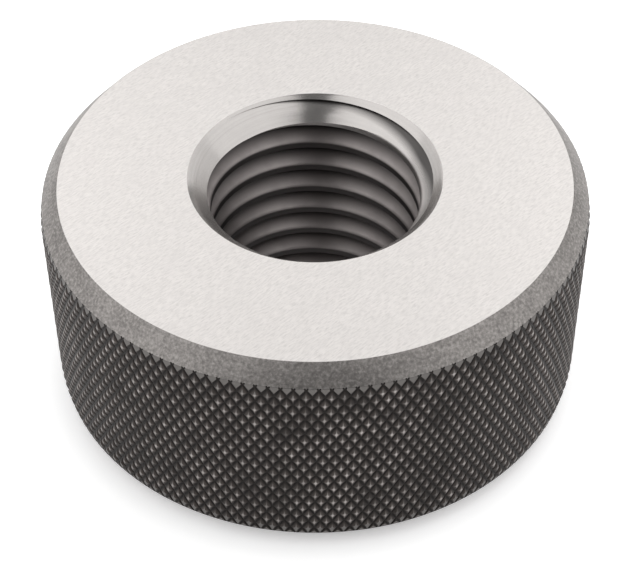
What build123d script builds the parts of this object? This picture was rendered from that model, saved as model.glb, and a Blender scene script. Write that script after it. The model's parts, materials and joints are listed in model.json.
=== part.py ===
"""Thread ring gauge: a solid steel ring with a ground screw thread through its middle.

Millimetres.  The origin is the centre of the lower face, +Z runs up the thread's axis.
"""

import os
from math import ceil, cos, pi, radians, sin, tan

from build123d import *
from build123d.topology import SkipClean

# ---- driving sizes ---------------------------------------------------------------------------

outside_diameter = 45.0  # over the points of the knurl
height = 20.0
rim_chamfer = 1.5  # 45 degree bevel round both outer edges

knurl_starts = 40  # grooves of each hand, kept coarse: a real grip has about 150
knurl_angle = 30.6  # of the grooves, away from the ring's axis
knurl_depth = 0.36  # from the points down to the valleys

thread_diameter = 20.0  # nominal
thread_pitch = 2.5
flank_angle = 60.0  # between the two flanks of the groove
groove_exit_angle = 157.0  # where the groove's middle runs out at the upper face

countersink_diameter = 20.8  # at the face
countersink_angle = 90.0  # of the whole cone

# ---- sizes that follow -----------------------------------------------------------------------

outside_radius = outside_diameter / 2

half_flank = tan(radians(flank_angle / 2))
sharp_depth = thread_pitch / (2 * half_flank)  # height of the full sharp triangle
bore_radius = thread_diameter / 2 - sharp_depth * 5 / 8  # on the thread's crests
root_radius = thread_diameter / 2 + sharp_depth / 8  # where the two flanks meet

countersink_radius = countersink_diameter / 2
countersink_depth = (countersink_radius - bore_radius) / tan(radians(countersink_angle / 2))

# The groove's cutter starts a little inside the bore, so it breaks the wall cleanly.
cutter_overlap = thread_pitch / 12
cutter_radius = bore_radius - cutter_overlap
cutter_half_width = (root_radius - cutter_radius) * half_flank

# The groove enters below the lower face and leaves above the upper one.
run_in = thread_pitch / 2
groove_turns = ceil((height + 2 * run_in) / thread_pitch)
groove_start_angle = groove_exit_angle - 360 * (height + run_in) / thread_pitch

# Points and valleys of the knurl take turns round each row, and change places in the next.
knurl_step = pi / knurl_starts
knurl_rise = outside_radius * knurl_step / tan(radians(knurl_angle))
knurl_rows = ceil(height / knurl_rise) + 1

# The blank stands proud of the knurl, which is then cut down into it.
blank_margin = knurl_depth

# ---- one turn of the screw groove ------------------------------------------------------------

with BuildPart() as groove:
    with BuildLine():
        Helix(pitch=thread_pitch, height=thread_pitch, radius=bore_radius)
    with BuildSketch(Plane.XZ):
        with BuildLine():
            Polyline(
                (cutter_radius, -cutter_half_width),
                (root_radius, 0),
                (cutter_radius, cutter_half_width),
                close=True,
            )
        make_face()
    sweep(is_frenet=True)

# ---- one half of the bore, with its share of both countersunk mouths ---------------------------

with BuildPart() as half_bore:
    with BuildSketch(Plane.XZ):
        with BuildLine():
            Polyline(
                (0, 0),
                (countersink_radius, 0),
                (bore_radius, countersink_depth),
                (bore_radius, height - countersink_depth),
                (countersink_radius, height),
                (0, height),
                close=True,
            )
        make_face()
    revolve(axis=Axis.Z, revolution_arc=180)

# ---- a bar with the diamond knurl, longer than the ring is high ---------------------------------


def knurl_corner(row, step):
    """A point of the knurl where row and step add up to an even number, and else a valley."""
    radius = outside_radius - knurl_depth * ((row + step) % 2)
    turn = step * knurl_step
    rise = height / 2 + (row - knurl_rows / 2) * knurl_rise
    return Vector(radius * cos(turn), radius * sin(turn), rise)


def knurl_facets(row, step):
    """The stretch of groove between two valleys: two flats that climb to a point each."""
    cell = [(row, step), (row, step + 1), (row + 1, step), (row + 1, step + 1)]
    valleys = [knurl_corner(*place) for place in cell if sum(place) % 2]
    points = [knurl_corner(*place) for place in cell if not sum(place) % 2]
    return [Face(Wire.make_polygon([*valleys, point])) for point in points]


around = range(2 * knurl_starts)
facets = [facet for row in range(knurl_rows) for step in around for facet in knurl_facets(row, step)]
ends = [
    Face(Wire.make_polygon([knurl_corner(row, step) for step in around])) for row in (0, knurl_rows)
]
knurled_bar = Solid(Shell(facets + ends))

# ---- the ring --------------------------------------------------------------------------------

with BuildPart() as ring:
    # Turned blank with both rims bevelled.
    with BuildSketch():
        Circle(outside_radius + blank_margin)
    extrude(amount=height)
    chamfer(ring.edges().filter_by(GeomType.CIRCLE), length=rim_chamfer + blank_margin)

    # The two halves of the bore keep faces of their own, so the thread's crest is a run of
    # half-turn strips and not one long coil.
    with SkipClean():
        with PolarLocations(radius=0, count=2):
            add(half_bore.part, mode=Mode.SUBTRACT)

        # The groove runs right through, turn above turn, and fades out across both mouths.
        with Locations(Location((0, 0, -run_in), (0, 0, groove_start_angle))):
            with Locations([(0, 0, turn * thread_pitch) for turn in range(groove_turns)]):
                add(groove.part, mode=Mode.SUBTRACT)

        # The knurl runs out across both bevels.
        add(knurled_bar, mode=Mode.INTERSECT)

ring.part.label = "gauge_ring"

os.makedirs("parts", exist_ok=True)
export_step(ring.part, "parts/gauge_ring.step")
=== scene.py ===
"""Thread ring gauge: the knurl, the screw thread and the finishes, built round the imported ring.

Metres.  The ring stands on its lower face at the origin, +Z runs up the thread's axis.
"""

import json
import math

import bmesh
import bpy
from bpy.props import FloatProperty, FloatVectorProperty, IntProperty, PointerProperty
from mathutils import Matrix, Quaternion, Vector


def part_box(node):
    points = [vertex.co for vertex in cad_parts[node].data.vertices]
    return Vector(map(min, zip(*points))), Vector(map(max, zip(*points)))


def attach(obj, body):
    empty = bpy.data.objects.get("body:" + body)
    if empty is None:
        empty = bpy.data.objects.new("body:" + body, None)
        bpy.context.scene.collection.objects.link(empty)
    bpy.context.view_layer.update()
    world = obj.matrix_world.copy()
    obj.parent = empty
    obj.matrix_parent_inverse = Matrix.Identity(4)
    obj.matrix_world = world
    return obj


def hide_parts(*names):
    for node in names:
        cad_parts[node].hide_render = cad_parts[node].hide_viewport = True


bl_info = {
    "name": "Thread ring gauge",
    "version": (1, 0, 0),
    "blender": (4, 5, 0),
    "location": "3D View > Sidebar > Gauge",
    "description": "Models a knurled thread ring gauge and the plain stage that it stands on",
    "category": "Add Mesh",
}

MM = 0.001
FULL_TURN = 2 * math.pi

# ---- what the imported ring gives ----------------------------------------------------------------

NODE = "gauge_ring"
BODY = "root"

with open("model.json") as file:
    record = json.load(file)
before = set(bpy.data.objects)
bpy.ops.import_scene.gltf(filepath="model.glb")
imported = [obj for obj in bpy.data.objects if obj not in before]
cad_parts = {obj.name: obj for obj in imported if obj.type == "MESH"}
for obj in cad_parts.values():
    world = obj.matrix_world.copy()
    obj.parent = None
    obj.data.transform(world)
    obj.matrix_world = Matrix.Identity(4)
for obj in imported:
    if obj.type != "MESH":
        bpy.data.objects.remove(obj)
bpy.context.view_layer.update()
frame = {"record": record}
ring_low, ring_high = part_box(NODE)
thread_mount = next(m for m in frame["record"]["mounts"] if m["name"] == "thread")


def length(name, default, description):
    return FloatProperty(
        name=name,
        description=description,
        default=default,
        min=0,
        precision=4,
        subtype="DISTANCE",
        unit="LENGTH",
    )


def angle(name, degrees, description):
    return FloatProperty(
        name=name,
        description=description,
        default=math.radians(degrees),
        subtype="ANGLE",
        unit="ROTATION",
    )


def brightness(name, default, description):
    return FloatProperty(name=name, description=description, default=default, min=0)


def colour(name, default, description):
    return FloatVectorProperty(
        name=name,
        description=description,
        default=default,
        size=3,
        min=0,
        max=1,
        subtype="COLOR",
    )


class RingSizes(bpy.types.PropertyGroup):
    """Sizes of the turned ring and of the screw thread."""

    outside: length("Outside diameter", min((ring_high - ring_low).xy), "Over the knurl's points")
    height: length("Height", ring_high.z - ring_low.z, "From the lower face to the upper one")
    rim_bevel: length("Rim bevel", 1.5 * MM, "How far in the bevel round both rims reaches")
    rim_bevel_height: length("Bevel height", 1.7 * MM, "How far down the bevel reaches")
    lead_height: length("Lead height", 0.7 * MM, "Of the knurl's turned-down end below the bevel")
    lead: length("Lead", 0.13 * MM, "How far the knurl's points are turned down at the bevel")
    mouth: length("Mouth diameter", 20.8 * MM, "Of the countersunk mouths, at the face")
    crest: length(
        "Crest diameter", 2 * thread_mount["dims"]["r_mm"] * MM, "Over the thread's crests"
    )
    root: length("Root diameter", 20.54 * MM, "At the bottom of the thread's groove")
    pitch: length("Pitch", 2.5 * MM, "Rise of the thread in one turn")
    groove: length("Groove width", 1.875 * MM, "Of the thread's groove, along the axis at its mouth")
    groove_exit: angle("Groove exit", 157, "Where the groove's middle runs out at the upper face")
    crest_round: length("Crest rounding", 0.24 * MM, "Of the corner that tops each crest")
    edge_break: length("Edge break", 0.04 * MM, "Of the sharp corners beside the ground faces")


class KnurlSizes(bpy.types.PropertyGroup):
    """Sizes of the diamond knurl."""

    starts: IntProperty(
        name="Starts", description="Grooves of each hand round the ring", default=148, min=8
    )
    slope: angle("Slope", 30.63, "Of the grooves of both hands, away from the axis")
    tilt: angle("Wheel tilt", 1.25, "Which the two hands have between them")
    first_turn: angle("First point", 0.313, "Where round the ring a point of the lowest row lies")
    first_rise: length("First row", 0.606 * MM, "Height of the lowest row of points")
    depth: length("Depth", 0.21 * MM, "From the points to the bottoms of the grooves")


class Finishes(bpy.types.PropertyGroup):
    """Colours of the steel, by how each surface was worked."""

    ground: colour("Ground steel", (0.757, 0.725, 0.703), "The two flat faces")
    bevel: colour("Satin steel", (0.318, 0.299, 0.286), "The bevels round the rims")
    mouth: colour("Turned steel", (0.66, 0.63, 0.61), "The countersunk mouths")
    thread: colour("Thread steel", (0.46, 0.42, 0.41), "The screw thread")
    knurl: colour("Blackened steel", (0.043, 0.036, 0.033), "The flanks of the knurl")
    # Partly the worn points' own colour, partly a painted highlight.
    knurl_points: colour("Rubbed steel", (0.40, 0.37, 0.355), "The knurl's worn points")


class StageSettings(bpy.types.PropertyGroup):
    """The floor, the lights and the camera."""

    floor: colour("Floor", (0.9, 0.9, 0.9), "Of the plain pale floor")
    # The floor's glow is weaker round the ring, where it paints a shadow.
    glow: brightness("Glow", 0.5, "Light that comes up through the floor")
    distance: length("Camera distance", 149.53 * MM, "From the middle of the upper face")
    elevation: angle("Camera elevation", 41.03, "Above the horizon")
    lower: angle("Aim lower", 3.46, "Below the middle of the upper face")
    aside: angle("Aim aside", 0.0803, "Past the middle of the upper face")
    roll: angle("Roll", 0.459, "Of the camera about its own line of sight")
    lens: FloatProperty(
        name="Lens",
        description="Focal length",
        default=103.6,
        min=1,
        subtype="DISTANCE_CAMERA",
        unit="CAMERA",
    )
    room: brightness("Room", 0.17, "Of the room round the stage")
    left_panel: brightness("Left panel", 0.95, "Of the left overhead panel")
    right_panel: brightness("Right panel", 0.86, "Of the right overhead panel")
    rear_panels: brightness("Rear panels", 0.66, "Of the two panels behind those")
    back_panel: brightness("Back panel", 1.05, "Of the panel behind")
    floor_light: brightness("Floor light", 1.5, "Of the light that bleaches the floor")


# ---- modelling on an unrolled wall -------------------------------------------------------------
# A round wall is modelled flat and then rolled up.  Along the flat wall x is the way round, y is
# the distance from the axis and z is the height, so that a cone is a plane and can cut it.

GROUND, BEVEL, TURNED, KNURL = range(4)  # the ring's materials
ON_PLANE = 1e-9  # corners this near a cutting plane lie in it
WELD = 0.002 * MM  # corners nearer than this are one


def edges_of(geometry):
    return [item for item in geometry if isinstance(item, bmesh.types.BMEdge)]


def verts_of(geometry):
    return [item for item in geometry if isinstance(item, bmesh.types.BMVert)]


def whole(bm):
    return bm.verts[:] + bm.edges[:] + bm.faces[:]


def cut(bm, point, normal, keep_below=False):
    """Cuts the flat wall with a plane, and gives the edges that lie in the cut."""
    done = bmesh.ops.bisect_plane(
        bm,
        geom=whole(bm),
        dist=ON_PLANE,
        plane_co=point,
        plane_no=normal,
        clear_outer=keep_below,
        clear_inner=False,
    )
    return edges_of(done["geom_cut"])


def lip(bm, edges, radius, height):
    """Draws the cut edges out to a ring of that radius and height, and gives the new edges."""
    done = bmesh.ops.extrude_edge_only(bm, edges=edges)["geom"]
    for vert in verts_of(done):
        vert.co.y = radius
        vert.co.z = height
    return edges_between(verts_of(done))


def edges_between(verts):
    """The edges that join those corners, each once and always in the same order."""
    chosen = set(verts)
    edges = (edge for vert in verts for edge in vert.link_edges)
    return list(dict.fromkeys(edge for edge in edges if chosen.issuperset(edge.verts)))


def roll_up(bm, radius):
    """Rolls a flat wall of that radius into a full turn and closes its seam."""
    for vert in bm.verts:
        turn = vert.co.x / radius
        vert.co = (vert.co.y * math.cos(turn), vert.co.y * math.sin(turn), vert.co.z)
    bmesh.ops.remove_doubles(bm, verts=bm.verts[:], dist=WELD)


# ---- the screw thread --------------------------------------------------------------------------

THREAD_STEPS = 240  # round one turn
TURNS_BELOW = 2  # spare turns under the lower face, which are cut away again
PROFILE_WELD = 0.001 * MM  # joins the profile of one turn to the next
SAME_CORNER = 1e-4  # in turns of the thread


def thread_wall(sizes):
    """The bore with its screw thread and both countersunk mouths."""
    crest, root = sizes.crest / 2, sizes.root / 2
    around = FULL_TURN * crest
    # Where the groove's lower corner stands at the seam, below the lower face
    exit_rise = sizes.pitch * sizes.groove_exit / FULL_TURN
    low = sizes.height - sizes.groove / 2 - exit_rise
    low -= sizes.pitch * math.ceil(low / sizes.pitch + TURNS_BELOW)
    turns = math.ceil((sizes.height - low) / sizes.pitch) + 1

    bm = bmesh.new()
    corners = [(crest, 0), (root, sizes.groove / 2), (crest, sizes.groove), (crest, sizes.pitch)]
    line = [bm.verts.new((0, radius, low + rise)) for radius, rise in corners]
    for one, other in zip(line, line[1:]):
        bm.edges.new((one, other))
    one_turn = bm.verts[:] + bm.edges[:]
    for turn in range(1, turns):
        copied = bmesh.ops.duplicate(bm, geom=one_turn)
        bmesh.ops.translate(bm, verts=verts_of(copied["geom"]), vec=(0, 0, turn * sizes.pitch))
    bmesh.ops.remove_doubles(bm, verts=bm.verts[:], dist=PROFILE_WELD)
    # Only the corner that tops each crest is worn round: a crest lies below it, a flank above.
    tops = []
    for vert in bm.verts:
        turns_up = (vert.co.z - low) / sizes.pitch
        if abs(turns_up - round(turns_up)) < SAME_CORNER and len(vert.link_edges) == 2:
            tops.append(vert)
    bmesh.ops.bevel(
        bm,
        geom=tops,
        affect="VERTICES",
        offset=sizes.crest_round,
        segments=3,
        profile=0.5,
        material=-1,
    )
    # The profile is drawn along the wall, rising one pitch on the way round.
    bmesh.ops.spin(
        bm,
        geom=bm.verts[:] + bm.edges[:],
        cent=(0, 0, 0),
        axis=(0, 0, 1),
        angle=0,
        steps=THREAD_STEPS,
        dvec=(around / THREAD_STEPS, 0, sizes.pitch / THREAD_STEPS),
    )

    # Each mouth is a cone of 90 degrees, which opens the wall where the thread stands inside it.
    mouth = sizes.mouth / 2
    cut(bm, (0, mouth, sizes.height), (0, 1, -1))
    cut(bm, (0, mouth, 0), (0, 1, 1))
    for vert in bm.verts:
        upper = mouth - (sizes.height - vert.co.z)
        lower = mouth - vert.co.z
        vert.co.y = max(vert.co.y, upper, lower)
    for face in bm.faces:
        face.material_index = TURNED

    edge = sizes.edge_break
    top = cut(bm, (0, 0, sizes.height - edge), (0, 0, 1), keep_below=True)
    lip(bm, top, mouth + edge, sizes.height)
    bottom = cut(bm, (0, 0, edge), (0, 0, -1), keep_below=True)
    lip(bm, bottom, mouth + edge, 0)
    roll_up(bm, crest)
    return bm


# ---- the knurl ---------------------------------------------------------------------------------

CELL_MAP = "cell"  # where in its diamond a place on the knurl lies, from its point
HALF_CELL = 0.5  # a diamond is one cell across both ways
GROOVE_FLAT = 0.04  # half width of a groove's bottom, in cells
POINT_FLAT = 0.05  # half width of a point's top, in cells
POINT_ROUND = 0.015 * MM  # how far a point's top is domed
RIDGE_ROUND = 0.05  # rounding of the ridges, in cells


def knurl_cell(knurl):
    """One diamond, a square of one cell with its heights in metres."""
    bm = bmesh.new()
    bmesh.ops.create_grid(bm, x_segments=1, y_segments=1, size=HALF_CELL)
    bmesh.ops.translate(bm, verts=bm.verts[:], vec=(0, 0, -knurl.depth))
    base = bm.faces[:]
    bmesh.ops.inset_individual(bm, faces=base, thickness=GROOVE_FLAT)
    bmesh.ops.inset_individual(bm, faces=base, thickness=HALF_CELL - GROOVE_FLAT - POINT_FLAT)
    top = base[0].verts[:]
    bmesh.ops.translate(bm, verts=top, vec=(0, 0, knurl.depth - POINT_ROUND))
    raised = set(top)
    ridges = [
        edge
        for vert in top
        for edge in vert.link_edges
        if not raised.issuperset(edge.verts)
    ]
    bmesh.ops.bevel(
        bm,
        geom=ridges,
        affect="EDGES",
        offset=RIDGE_ROUND,
        offset_type="WIDTH",
        segments=1,
        profile=0.5,
        material=-1,
    )
    highest = max(bm.faces, key=lambda face: face.calc_center_median().z)
    poked = bmesh.ops.poke(bm, faces=[highest])
    bmesh.ops.translate(bm, verts=poked["verts"], vec=(0, 0, POINT_ROUND))
    place = bm.loops.layers.uv.new(CELL_MAP)
    for face in bm.faces:
        for loop in face.loops:
            loop[place].uv = loop.vert.co.xy
    return bm


def knurl_wall(sizes, knurl):
    """The knurled outside and both bevelled rims."""
    outside = sizes.outside / 2
    around = FULL_TURN * outside
    step = around / knurl.starts
    right = math.tan(knurl.slope + knurl.tilt)
    left = math.tan(knurl.slope - knurl.tilt)
    # One cell on along a groove of the left hand, and along one of the right hand
    along_left = Vector((-step * left / (left + right), 0, step / (left + right)))
    along_right = Vector((step * right / (left + right), 0, step / (left + right)))
    outward = Vector((0, 1, 0))
    rows = math.ceil((sizes.height - sizes.rim_bevel - knurl.first_rise) / along_left.z) + 1

    bm = knurl_cell(knurl)
    lay = Matrix((along_left, along_right, outward)).transposed().to_4x4()
    bmesh.ops.transform(bm, matrix=lay, verts=bm.verts[:])
    start = Vector((outside * knurl.first_turn, outside, knurl.first_rise))
    bmesh.ops.translate(bm, verts=bm.verts[:], vec=start)
    cell = whole(bm)
    for row in range(1, rows):
        copied = bmesh.ops.duplicate(bm, geom=cell)["geom"]
        shift = along_left * (row // 2) + along_right * (row - row // 2)
        bmesh.ops.translate(bm, verts=verts_of(copied), vec=shift)
    bmesh.ops.spin(
        bm,
        geom=whole(bm),
        cent=(0, 0, 0),
        axis=(0, 0, 1),
        angle=0,
        steps=knurl.starts - 1,
        dvec=(step, 0, 0),
        use_duplicate=True,
    )
    bmesh.ops.remove_doubles(bm, verts=bm.verts[:], dist=WELD)
    for face in bm.faces:
        face.material_index = KNURL

    rim = outside - sizes.rim_bevel
    edge = sizes.edge_break
    for height, way in ((sizes.height, 1), (0, -1)):
        # The points beside the bevel are turned down, which leaves only the grooves dark.
        full = height - way * (sizes.rim_bevel_height + sizes.lead_height)
        cut(bm, (0, outside, full), (0, sizes.lead_height, way * sizes.lead))
        lean = sizes.lead / sizes.lead_height
        for vert in bm.verts:
            turned = outside - way * (vert.co.z - full) * lean
            if vert.co.y > turned:
                vert.co.y = turned
                for face in vert.link_faces:
                    face.material_index = BEVEL
        across = (0, sizes.rim_bevel_height, way * sizes.rim_bevel)
        cone = cut(bm, (0, rim, height), across, keep_below=True)
        before = set(bm.faces)
        drop = edge * sizes.rim_bevel_height / sizes.rim_bevel
        outer = lip(bm, cone, rim + edge, height - way * drop)
        lip(bm, outer, rim - edge, height)
        for face in set(bm.faces) - before:
            face.material_index = BEVEL
    roll_up(bm, outside)
    return bm


# ---- the whole ring ----------------------------------------------------------------------------

FACE_LEVEL = 1e-7  # corners this near a flat face's height lie in it
SHARP_ANGLE = math.radians(24)  # past which an edge isn't shaded round


def face_between(bm, height):
    """Closes the flat face at that height, between the mouth and the rim."""
    rims = [
        edge
        for edge in bm.edges
        if edge.is_boundary and all(abs(vert.co.z - height) < FACE_LEVEL for vert in edge.verts)
    ]
    filled = bmesh.ops.triangle_fill(bm, edges=rims, use_beauty=True, normal=(0, 0, 1))
    for item in filled["geom"]:
        if isinstance(item, bmesh.types.BMFace):
            item.material_index = GROUND


def make_ring(sizes, knurl):
    body = bpy.data.meshes.new("ring")
    for wall in (thread_wall(sizes), knurl_wall(sizes, knurl)):
        wall.from_mesh(body)
        wall.to_mesh(body)
        wall.free()
    bm = bmesh.new()
    bm.from_mesh(body)
    for height in (0, sizes.height):
        face_between(bm, height)
    bmesh.ops.recalc_face_normals(bm, faces=bm.faces[:])
    for face in bm.faces:
        face.smooth = True
    for edge in bm.edges:
        edge.smooth = edge.calc_face_angle(0) < SHARP_ANGLE
    open_edges = sum(1 for edge in bm.edges if not edge.is_manifold)
    if open_edges:
        raise RuntimeError(f"the ring has {open_edges} open edges")
    bm.to_mesh(body)
    bm.free()
    return body


# ---- shader maths ------------------------------------------------------------------------------


class Value:
    """A number or a vector that varies over a surface, so that its maths reads as maths."""

    def __init__(self, finish, socket):
        self.finish = finish
        self.socket = socket

    def maths(self, operation, *values):
        settings = {"operation": operation}
        return self.finish.node("ShaderNodeMath", settings, dict(enumerate(values)))

    def __add__(self, other):
        return self.maths("ADD", self, other)

    __radd__ = __add__

    def __sub__(self, other):
        return self.maths("SUBTRACT", self, other)

    def __rsub__(self, other):
        return self.maths("SUBTRACT", other, self)

    def __mul__(self, other):
        return self.maths("MULTIPLY", self, other)

    __rmul__ = __mul__

    def __truediv__(self, other):
        return self.maths("DIVIDE", self, other)

    def __rtruediv__(self, other):
        return self.maths("DIVIDE", other, self)

    def __pow__(self, other):
        return self.maths("POWER", self, other)

    def magnitude(self):
        return self.maths("ABSOLUTE", self)

    def smaller(self, other):
        return self.maths("MINIMUM", self, other)

    def larger(self, other):
        return self.maths("MAXIMUM", self, other)

    def ramp(self, low, high):
        """0 at low, 1 at high, straight between them and level outside."""
        values = {"Value": self, "From Min": low, "From Max": high}
        return self.finish.node("ShaderNodeMapRange", {"clamp": True}, values)

    def ramp_past(self, place, span):
        """The same, over a span that is measured from a place."""
        start, end = span
        return self.ramp(place + start, place + end)


MIX_ONE, MIX_OTHER, MIX_RESULT = 6, 7, 2  # a Mix node's sockets for colours
ROUND_THE_AXIS = 0.25  # of a turn, which lays the tool marks the way the ring was turned


class Finish:
    """A finish: one material, whose nodes all come from a single method."""

    def __init__(self, name):
        self.material = bpy.data.materials.new(name)
        self.material.use_nodes = True
        self.tree = self.material.node_tree
        self.tree.nodes.clear()
        place = self.node("ShaderNodeTexCoord", {}, {}, output="Object")
        self.place = place
        split = self.node("ShaderNodeSeparateXYZ", {}, {"Vector": place}, output=None)
        self.x, self.y, self.z = (Value(self, split.outputs[axis]) for axis in "XYZ")
        self.radius = (self.x * self.x + self.y * self.y) ** 0.5

    def node(self, kind, settings, values, output=0):
        made = self.tree.nodes.new(kind)
        for name, setting in settings.items():
            setattr(made, name, setting)
        for name, value in values.items():
            if isinstance(value, Value):
                self.tree.links.new(value.socket, made.inputs[name])
            else:
                made.inputs[name].default_value = value
        return made if output is None else Value(self, made.outputs[output])

    def noise(self, scale, detail, roughness, vector=None):
        """Soft noise, with scale as the number of its patches to a metre."""
        values = {
            "Vector": vector or self.place,
            "Scale": scale,
            "Detail": detail,
            "Roughness": roughness,
        }
        return self.node("ShaderNodeTexNoise", {}, values)

    def marks(self, turn, size):
        """Noise drawn out into marks of that length, width and height, turned about the axis."""
        values = {"Vector": self.place, "Rotation": (0, 0, turn), "Scale": size}
        laid = self.node("ShaderNodeMapping", {"vector_type": "TEXTURE"}, values)
        return self.noise(scale=1, detail=3, roughness=0.6, vector=laid)

    def bands(self, along, width, detail, roughness):
        """Noise that changes one way only, as a tool's marks do, over bands of that width."""
        place = self.vector(along / width, 0, 0)
        return self.noise(1, detail, roughness, place)

    def in_cell(self):
        """The two ways across a diamond of the knurl."""
        place = self.node("ShaderNodeUVMap", {"uv_map": CELL_MAP}, {})
        split = self.node("ShaderNodeSeparateXYZ", {}, {"Vector": place}, output=None)
        return Value(self, split.outputs["X"]), Value(self, split.outputs["Y"])

    def vector(self, x, y, z):
        return self.node("ShaderNodeCombineXYZ", {}, {"X": x, "Y": y, "Z": z})

    def mix(self, factor, one, other):
        settings = {"data_type": "RGBA"}
        values = {"Factor": factor, MIX_ONE: opaque(one), MIX_OTHER: opaque(other)}
        return self.node("ShaderNodeMix", settings, values, output=MIX_RESULT)

    def over(self, tone, colour, where, amount):
        """The tone with some of a colour laid over it."""
        return self.mix(where * amount, tone, colour)

    def bump(self, height, distance, strength):
        values = {"Height": height, "Distance": distance, "Strength": strength}
        return self.node("ShaderNodeBump", {}, values)

    def steel(self, base, roughness, normal, metallic=1.0, turned=0.0):
        """Turned is how strongly the tool marks round the ring draw out its reflections."""
        values = {
            "Base Color": opaque(base),
            "Roughness": roughness,
            "Metallic": metallic,
            "Normal": normal,
            "Anisotropic": turned,
            "Anisotropic Rotation": ROUND_THE_AXIS,
        }
        return self.surface(values)

    def surface(self, values):
        shader = self.node("ShaderNodeBsdfPrincipled", {}, values)
        self.node("ShaderNodeOutputMaterial", {}, {"Surface": shader}, output=None)
        return self.material


def opaque(value):
    """A plain colour with full alpha, or a varying one as it is."""
    return value if isinstance(value, Value) else (*value, 1.0)


def shade(value, factor):
    return tuple(channel * factor for channel in value)


# ---- the finishes ------------------------------------------------------------------------------
# Noise lies mostly between 0.3 and 0.7, and a ramp between two of its levels sets how much of it
# shows.  Each shade is a share of the finish's plain colour.

BROAD = (0.3, 0.7)  # a slow change over the whole surface
PATCHY = (0.35, 0.65)  # soft patches
STREAKY = (0.45, 0.7)  # the stronger marks alone

GRINDING_LAY = math.radians(42)  # which way the grinder's scratches run
COARSE_TURN = 0.15  # between the fine scratches and the coarse ones, in radians
FINE_SCRATCH = (0.55 * MM, 0.13 * MM, MM)  # length, width and height of a mark
COARSE_SCRATCH = (1.5 * MM, 0.4 * MM, MM)


def ground_steel(colours):
    """Flat faces off the surface grinder: bright, with fine straight scratches all one way."""
    finish = Finish("ground_steel")
    plain = colours.ground
    fine = finish.marks(GRINDING_LAY, FINE_SCRATCH)
    coarse = finish.marks(GRINDING_LAY + COARSE_TURN, COARSE_SCRATCH)
    clouds = finish.noise(scale=300, detail=4, roughness=0.65)
    tone = finish.mix(clouds.ramp(*PATCHY), shade(plain, 0.94), plain)
    tone = finish.over(tone, shade(plain, 0.76), where=fine.ramp(*STREAKY), amount=0.8)
    tone = finish.over(tone, shade(plain, 0.84), where=coarse.ramp(*STREAKY), amount=0.5)
    rough = 0.30 + 0.10 * clouds + 0.08 * fine
    normal = finish.bump(fine + 0.6 * coarse, distance=0.004 * MM, strength=0.5)
    return finish.steel(tone, rough, normal)


GRAIN_PEAK = (0.5, 0.72)  # levels of the bevel's grain that shine
GRAIN_PIT = (0.5, 0.3)  # and that lie dark
LATHE_RING = 0.12 * MM  # width of the rings that the lathe left under the grain
RING_LEVELS = (0.45, 0.65)
LEAD_START, LEAD_FULL = 1.5, 1.28  # times the lead, in from the outside: the two ends of the darkening


def satin_steel(colours, sizes):
    """Bevels: turned, then dulled, with a fine grain."""
    finish = Finish("satin_steel")
    plain = colours.bevel
    grain = finish.noise(scale=4200, detail=2, roughness=0.6)
    clouds = finish.noise(scale=480, detail=4, roughness=0.65)
    rings = finish.bands(finish.radius, LATHE_RING, detail=2, roughness=0.5)
    tone = finish.mix(clouds.ramp(*BROAD), shade(plain, 0.8), shade(plain, 1.1))
    tone = finish.over(tone, shade(plain, 1.6), where=grain.ramp(*GRAIN_PEAK), amount=0.7)
    tone = finish.over(tone, shade(plain, 0.5), where=grain.ramp(*GRAIN_PIT), amount=0.7)
    tone = finish.over(tone, shade(plain, 0.7), where=rings.ramp(*RING_LEVELS), amount=0.3)
    # The points turned down beside the bevel are painted darker than the bevel.
    full = sizes.outside / 2
    turned_down = finish.radius.ramp(full - LEAD_START * sizes.lead, full - LEAD_FULL * sizes.lead)
    tone = finish.mix(turned_down, tone, shade(plain, 0.42))
    rough = 0.38 + 0.14 * grain
    normal = finish.bump(grain + 0.7 * rings, distance=0.01 * MM, strength=0.6)
    return finish.steel(tone, rough, normal)


THREAD_MARK = 0.16 * MM  # width of the tool's marks down the bore
STAIN_LEVELS = (0.35, 0.7)
ROOT_SHADE, RUN_OUT_SHADOW = 0.88, 0.85  # how strongly each paints its shade
# Where the finish and its painted shade change in the bore, from none of a tone to all of it
DULL_PAST_FOOT = (-0.2 * MM, 1.1 * MM)  # down from the foot of the upper cone
DULL_BEHIND_CONE = (0, 0.02 * MM)  # outwards from the cone's own surface
DARK_FROM_CREST, DARK_TO_ROOT = 0.15 * MM, 0.1 * MM  # outside the crests, and short of the root
CREST_BAND = (0.06 * MM, 0.01 * MM)  # outwards from the crests
ROOT_BAND = (-0.48 * MM, -0.2 * MM)  # outwards from the root, so all of it lies inside the root
ROOT_BEHIND_CONE = (0.12 * MM, 0.22 * MM)  # outwards from the cone, as the next
RUN_OUT_BEHIND_CONE = (0.15 * MM, 0.45 * MM)
RUN_OUT_PAST_FOOT = (0.2 * MM, -0.3 * MM)  # down from the foot of the upper cone


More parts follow.
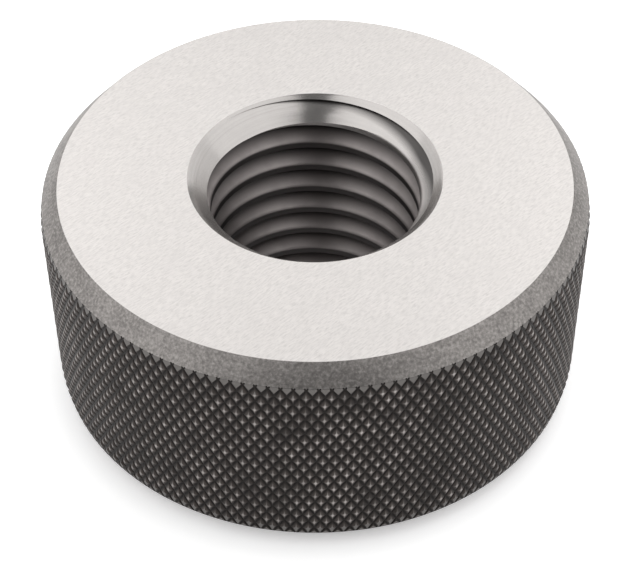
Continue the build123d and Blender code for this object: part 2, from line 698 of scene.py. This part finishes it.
def turned_steel(colours, sizes):
    """Mouths and thread: turned bright at the mouths, rougher and darker down the bore, with shade
    painted on flanks, crests, root and run-out.
    """
    finish = Finish("turned_steel")
    mouth, root, crest = sizes.mouth / 2, sizes.root / 2, sizes.crest / 2
    from_top = sizes.height - finish.z
    from_face = finish.z.smaller(from_top)
    below_cone = finish.radius + from_face - mouth
    foot = mouth - crest
    inside = from_top.ramp_past(foot, DULL_PAST_FOOT) * below_cone.ramp(*DULL_BEHIND_CONE)
    marks = finish.bands(finish.z, THREAD_MARK, detail=3, roughness=0.6)
    clouds = finish.noise(scale=420, detail=3, roughness=0.6)
    bright = finish.mix(clouds.ramp(*BROAD), shade(colours.mouth, 0.94), colours.mouth)
    worked = shade(colours.mouth, 0.84)
    bright = finish.over(bright, worked, where=marks.ramp(*STREAKY), amount=0.6)
    # Painted shade: the flanks darken towards the root, which the crest above shades, and the crest
    # flats are painted dark.
    shade_toward_root = finish.radius.ramp(crest + DARK_FROM_CREST, root - DARK_TO_ROOT)
    dull_and_shaded = finish.mix(shade_toward_root, colours.thread, shade(colours.thread, 0.16))
    stained = shade(colours.thread, 0.5)
    dull_and_shaded = finish.over(dull_and_shaded, stained, where=clouds.ramp(*STAIN_LEVELS), amount=0.4)
    on_crest = finish.radius.ramp_past(crest, CREST_BAND)
    dull_and_shaded = finish.mix(on_crest, dull_and_shaded, shade(colours.thread, 0.18))
    tone = finish.mix(inside, bright, dull_and_shaded)
    # Painted shade: the groove's root, and its run-out line below the upper cone, are painted very
    # dark.
    in_root = ROOT_SHADE * finish.radius.ramp_past(root, ROOT_BAND)
    in_root = in_root * below_cone.ramp(*ROOT_BEHIND_CONE)
    run_out = below_cone.ramp(*RUN_OUT_BEHIND_CONE) * from_top.ramp_past(foot, RUN_OUT_PAST_FOOT)
    painted_shade = in_root.larger(RUN_OUT_SHADOW * run_out)
    tone = finish.mix(painted_shade, tone, shade(colours.thread, 0.06))
    rough = 0.22 + 0.06 * clouds + 0.2 * inside
    normal = finish.bump(marks, distance=0.004 * MM, strength=0.5)
    return finish.steel(tone, rough, normal, turned=0.85)


# Where on a diamond each kind of wear and painted highlight starts and is full, in cells
TIP = (0.20, 0.07)  # from the point, as the ridges' length and the groove
UPRIGHT_RIDGE = (0.14, 0.04)  # to each side of the ridges that run up and down
LEVEL_RIDGE = (0.13, 0.04)  # and of those that run round the ring
RIDGE_LENGTH = (0.30, 0.10)
GROOVE = (0.30, 0.42)
UPRIGHT_WEAR_AND_HIGHLIGHT, LEVEL_WEAR_AND_HIGHLIGHT = 0.7, 0.6  # of the ridges, as shares of the points' wear and painted highlight
WEAR_AND_HIGHLIGHT_LEVELS = (0.25, 0.65)


def knurled_steel(colours):
    """Knurl: blackened, darkest in the grooves, rubbed light on the points and ridges, with a
    highlight painted in there too.
    """
    finish = Finish("knurled_steel")
    plain = colours.knurl
    grain = finish.noise(scale=3800, detail=3, roughness=0.6)
    clouds = finish.noise(scale=420, detail=3, roughness=0.6)
    left, right = finish.in_cell()
    from_point = left.magnitude().larger(right.magnitude())
    tip = from_point.ramp(*TIP)
    upright = (left - right).magnitude().ramp(*UPRIGHT_RIDGE) * from_point.ramp(*RIDGE_LENGTH)
    level = (left + right).magnitude().ramp(*LEVEL_RIDGE) * from_point.ramp(*RIDGE_LENGTH)
    # The points and ridges are painted lighter, partly as rubbed wear and partly as a painted
    # highlight where they catch the light.
    worn = tip.larger(UPRIGHT_WEAR_AND_HIGHLIGHT * upright).larger(LEVEL_WEAR_AND_HIGHLIGHT * level)
    worn = worn * clouds.ramp(*WEAR_AND_HIGHLIGHT_LEVELS)
    groove = from_point.ramp(*GROOVE)
    flank = finish.mix(clouds.ramp(*BROAD), shade(plain, 0.7), shade(plain, 1.5))
    tone = finish.mix(groove, flank, shade(plain, 0.35))
    tone = finish.mix(worn * (0.6 + 0.6 * grain), tone, colours.knurl_points)
    rough = 0.40 + 0.15 * grain
    normal = finish.bump(grain, distance=0.012 * MM, strength=0.6)
    return finish.steel(tone, rough, normal, metallic=0.85)


# ---- operators ---------------------------------------------------------------------------------


class GAUGE_OT_ring(bpy.types.Operator):
    """Model the ring with its knurl, mouths and screw thread, in place of the plain packed one"""

    bl_idname = "gauge.ring"
    bl_label = "Ring"

    def execute(self, context):
        scene = context.scene
        sizes, colours = scene.gauge_sizes, scene.gauge_finishes
        mesh = make_ring(sizes, scene.gauge_knurl)
        mesh.materials.append(ground_steel(colours))
        mesh.materials.append(satin_steel(colours, sizes))
        mesh.materials.append(turned_steel(colours, sizes))
        mesh.materials.append(knurled_steel(colours))
        ring = bpy.data.objects.new("ring_with_knurl_and_thread", mesh)
        scene.collection.objects.link(ring)
        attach(ring, BODY)
        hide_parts(NODE)
        return {"FINISHED"}


class GAUGE_OT_stage(bpy.types.Operator):
    """Lay the floor, hang the lights and set up the camera"""

    bl_idname = "gauge.stage"
    bl_label = "Stage"

    def execute(self, context):
        scene = context.scene
        stage = scene.gauge_stage
        lay_floor(scene, stage)
        light_room(scene, stage)
        aim_camera(scene, stage, scene.gauge_sizes)
        return {"FINISHED"}


# ---- the stage ---------------------------------------------------------------------------------

FLOOR_REACH = 6  # from the ring to each side
PAINTED_SHADOW_EDGE = (21 * MM, 24 * MM)  # from the axis, across which the shadow painted into the floor's glow fades out
SHADOWED_GLOW, FULL_GLOW = (0.52, 0.52, 0.53), (1, 1, 1)


def floor_paper(stage):
    """Matt white sheet under the lamps that also glows from below, less round the ring, as a painted
    shadow.
    """
    finish = Finish("floor_paper")
    speckle = finish.noise(scale=900, detail=2, roughness=0.5)
    glow_past_shadow = finish.radius.ramp(*PAINTED_SHADOW_EDGE)
    values = {
        "Base Color": finish.mix(speckle, shade(stage.floor, 0.99), stage.floor),
        "Roughness": 0.6 + 0.1 * speckle,
        "Specular IOR Level": 0.1,
        "Normal": finish.bump(speckle, distance=0.01 * MM, strength=0.2),
        "Emission Color": finish.mix(glow_past_shadow, SHADOWED_GLOW, FULL_GLOW),
        "Emission Strength": stage.glow,
    }
    return finish.surface(values)


def lay_floor(scene, stage):
    mesh = bpy.data.meshes.new("floor")
    bm = bmesh.new()
    bmesh.ops.create_grid(bm, x_segments=1, y_segments=1, size=FLOOR_REACH)
    bm.to_mesh(mesh)
    bm.free()
    mesh.materials.append(floor_paper(stage))
    floor = bpy.data.objects.new("floor", mesh)
    scene.collection.objects.link(floor)


def panel(scene, name, centre, facing, size, strength, mirrored=True):
    """A flat soft light, as bright in a mirror as its strength says."""
    width, depth = size
    light = bpy.data.lights.new(name, "AREA")
    light.shape = "RECTANGLE"
    light.size = width
    light.size_y = depth
    light.energy = strength * math.pi * width * depth
    lamp = bpy.data.objects.new(name, light)
    lamp.location = centre
    lamp.rotation_mode = "QUATERNION"
    lamp.rotation_quaternion = Vector(facing).to_track_quat("-Z", "Y")
    lamp.visible_camera = False
    lamp.visible_glossy = mirrored
    scene.collection.objects.link(lamp)


# The side panels lean over the ring like a tent.  A dark gap stays between left and right.
PANEL_ASIDE, PANEL_HEIGHT = 0.75, 0.66  # of the middle of each side panel
NEAR_MIDDLE, NEAR_SIZE = -0.32, (1.3, 1.6)  # how far back their middles are, their width and depth
REAR_MIDDLE, REAR_SIZE = 0.95, (1.24, 1.6)
BACK_CENTRE, BACK_FACING, BACK_SIZE = (0, 0.906, 0.787), (0, -0.755, -0.656), (1.2, 0.7)
OVERHEAD_CENTRE, OVERHEAD_FACING, OVERHEAD_SIZE = (0.2, 0.3, 1), (-0.2, -0.3, -1), (0.8, 0.8)


def light_room(scene, stage):
    world = bpy.data.worlds.new("room")
    world.use_nodes = True
    background = world.node_tree.nodes["Background"]
    background.inputs["Color"].default_value = (1, 1, 1, 1)
    background.inputs["Strength"].default_value = stage.room
    scene.world = world
    scene.view_settings.view_transform = "Standard"
    for side, way, strength in (("left", -1, stage.left_panel), ("right", 1, stage.right_panel)):
        inward = (-PANEL_ASIDE * way, 0, -PANEL_HEIGHT)
        near = (PANEL_ASIDE * way, NEAR_MIDDLE, PANEL_HEIGHT)
        rear = (PANEL_ASIDE * way, REAR_MIDDLE, PANEL_HEIGHT)
        panel(scene, f"{side}_panel", near, inward, NEAR_SIZE, strength)
        panel(scene, f"{side}_rear_panel", rear, inward, REAR_SIZE, stage.rear_panels)
    panel(scene, "back_panel", BACK_CENTRE, BACK_FACING, BACK_SIZE, stage.back_panel)
    # The ring doesn't mirror the light that bleaches the floor.
    overhead = (OVERHEAD_CENTRE, OVERHEAD_FACING, OVERHEAD_SIZE)
    panel(scene, "floor_panel", *overhead, stage.floor_light, mirrored=False)


NEAREST_SEEN = 0.01  # from the camera


def aim_camera(scene, stage, sizes):
    target = Vector((0, 0, sizes.height))
    line = Vector((0, -math.cos(stage.elevation), math.sin(stage.elevation)))
    camera = bpy.data.cameras.new("camera")
    camera.lens = stage.lens
    camera.clip_start = NEAREST_SEEN
    eye = bpy.data.objects.new("camera", camera)
    eye.location = target + line * stage.distance
    straight = (-line).to_track_quat("-Z", "Y")
    aside = Quaternion((0, 1, 0), -stage.aside)
    lower = Quaternion((1, 0, 0), -stage.lower)
    roll = Quaternion((0, 0, 1), -stage.roll)
    eye.rotation_mode = "QUATERNION"
    eye.rotation_quaternion = straight @ aside @ lower @ roll
    scene.collection.objects.link(eye)
    scene.camera = eye


# ---- panel and registration --------------------------------------------------------------------

GROUPS = {
    "gauge_sizes": RingSizes,
    "gauge_knurl": KnurlSizes,
    "gauge_finishes": Finishes,
    "gauge_stage": StageSettings,
}
OPERATORS = (GAUGE_OT_ring, GAUGE_OT_stage)


class GAUGE_PT_panel(bpy.types.Panel):
    """Sizes, colours and the buttons that build from them"""

    bl_idname = "GAUGE_PT_panel"
    bl_label = "Thread ring gauge"
    bl_space_type = "VIEW_3D"
    bl_region_type = "UI"
    bl_category = "Gauge"

    def draw(self, context):
        for operator in OPERATORS:
            self.layout.operator(operator.bl_idname)
        for name, group in GROUPS.items():
            box = self.layout.box()
            settings = getattr(context.scene, name)
            for prop in group.__annotations__:
                box.prop(settings, prop)


CLASSES = (*GROUPS.values(), *OPERATORS, GAUGE_PT_panel)


def register():
    for cls in CLASSES:
        bpy.utils.register_class(cls)
    for name, group in GROUPS.items():
        setattr(bpy.types.Scene, name, PointerProperty(type=group))


def unregister():
    for name in GROUPS:
        delattr(bpy.types.Scene, name)
    for cls in reversed(CLASSES):
        bpy.utils.unregister_class(cls)


def main():
    register()
    bpy.ops.gauge.ring()
    bpy.ops.gauge.stage()


if __name__ == "__main__":
    main()
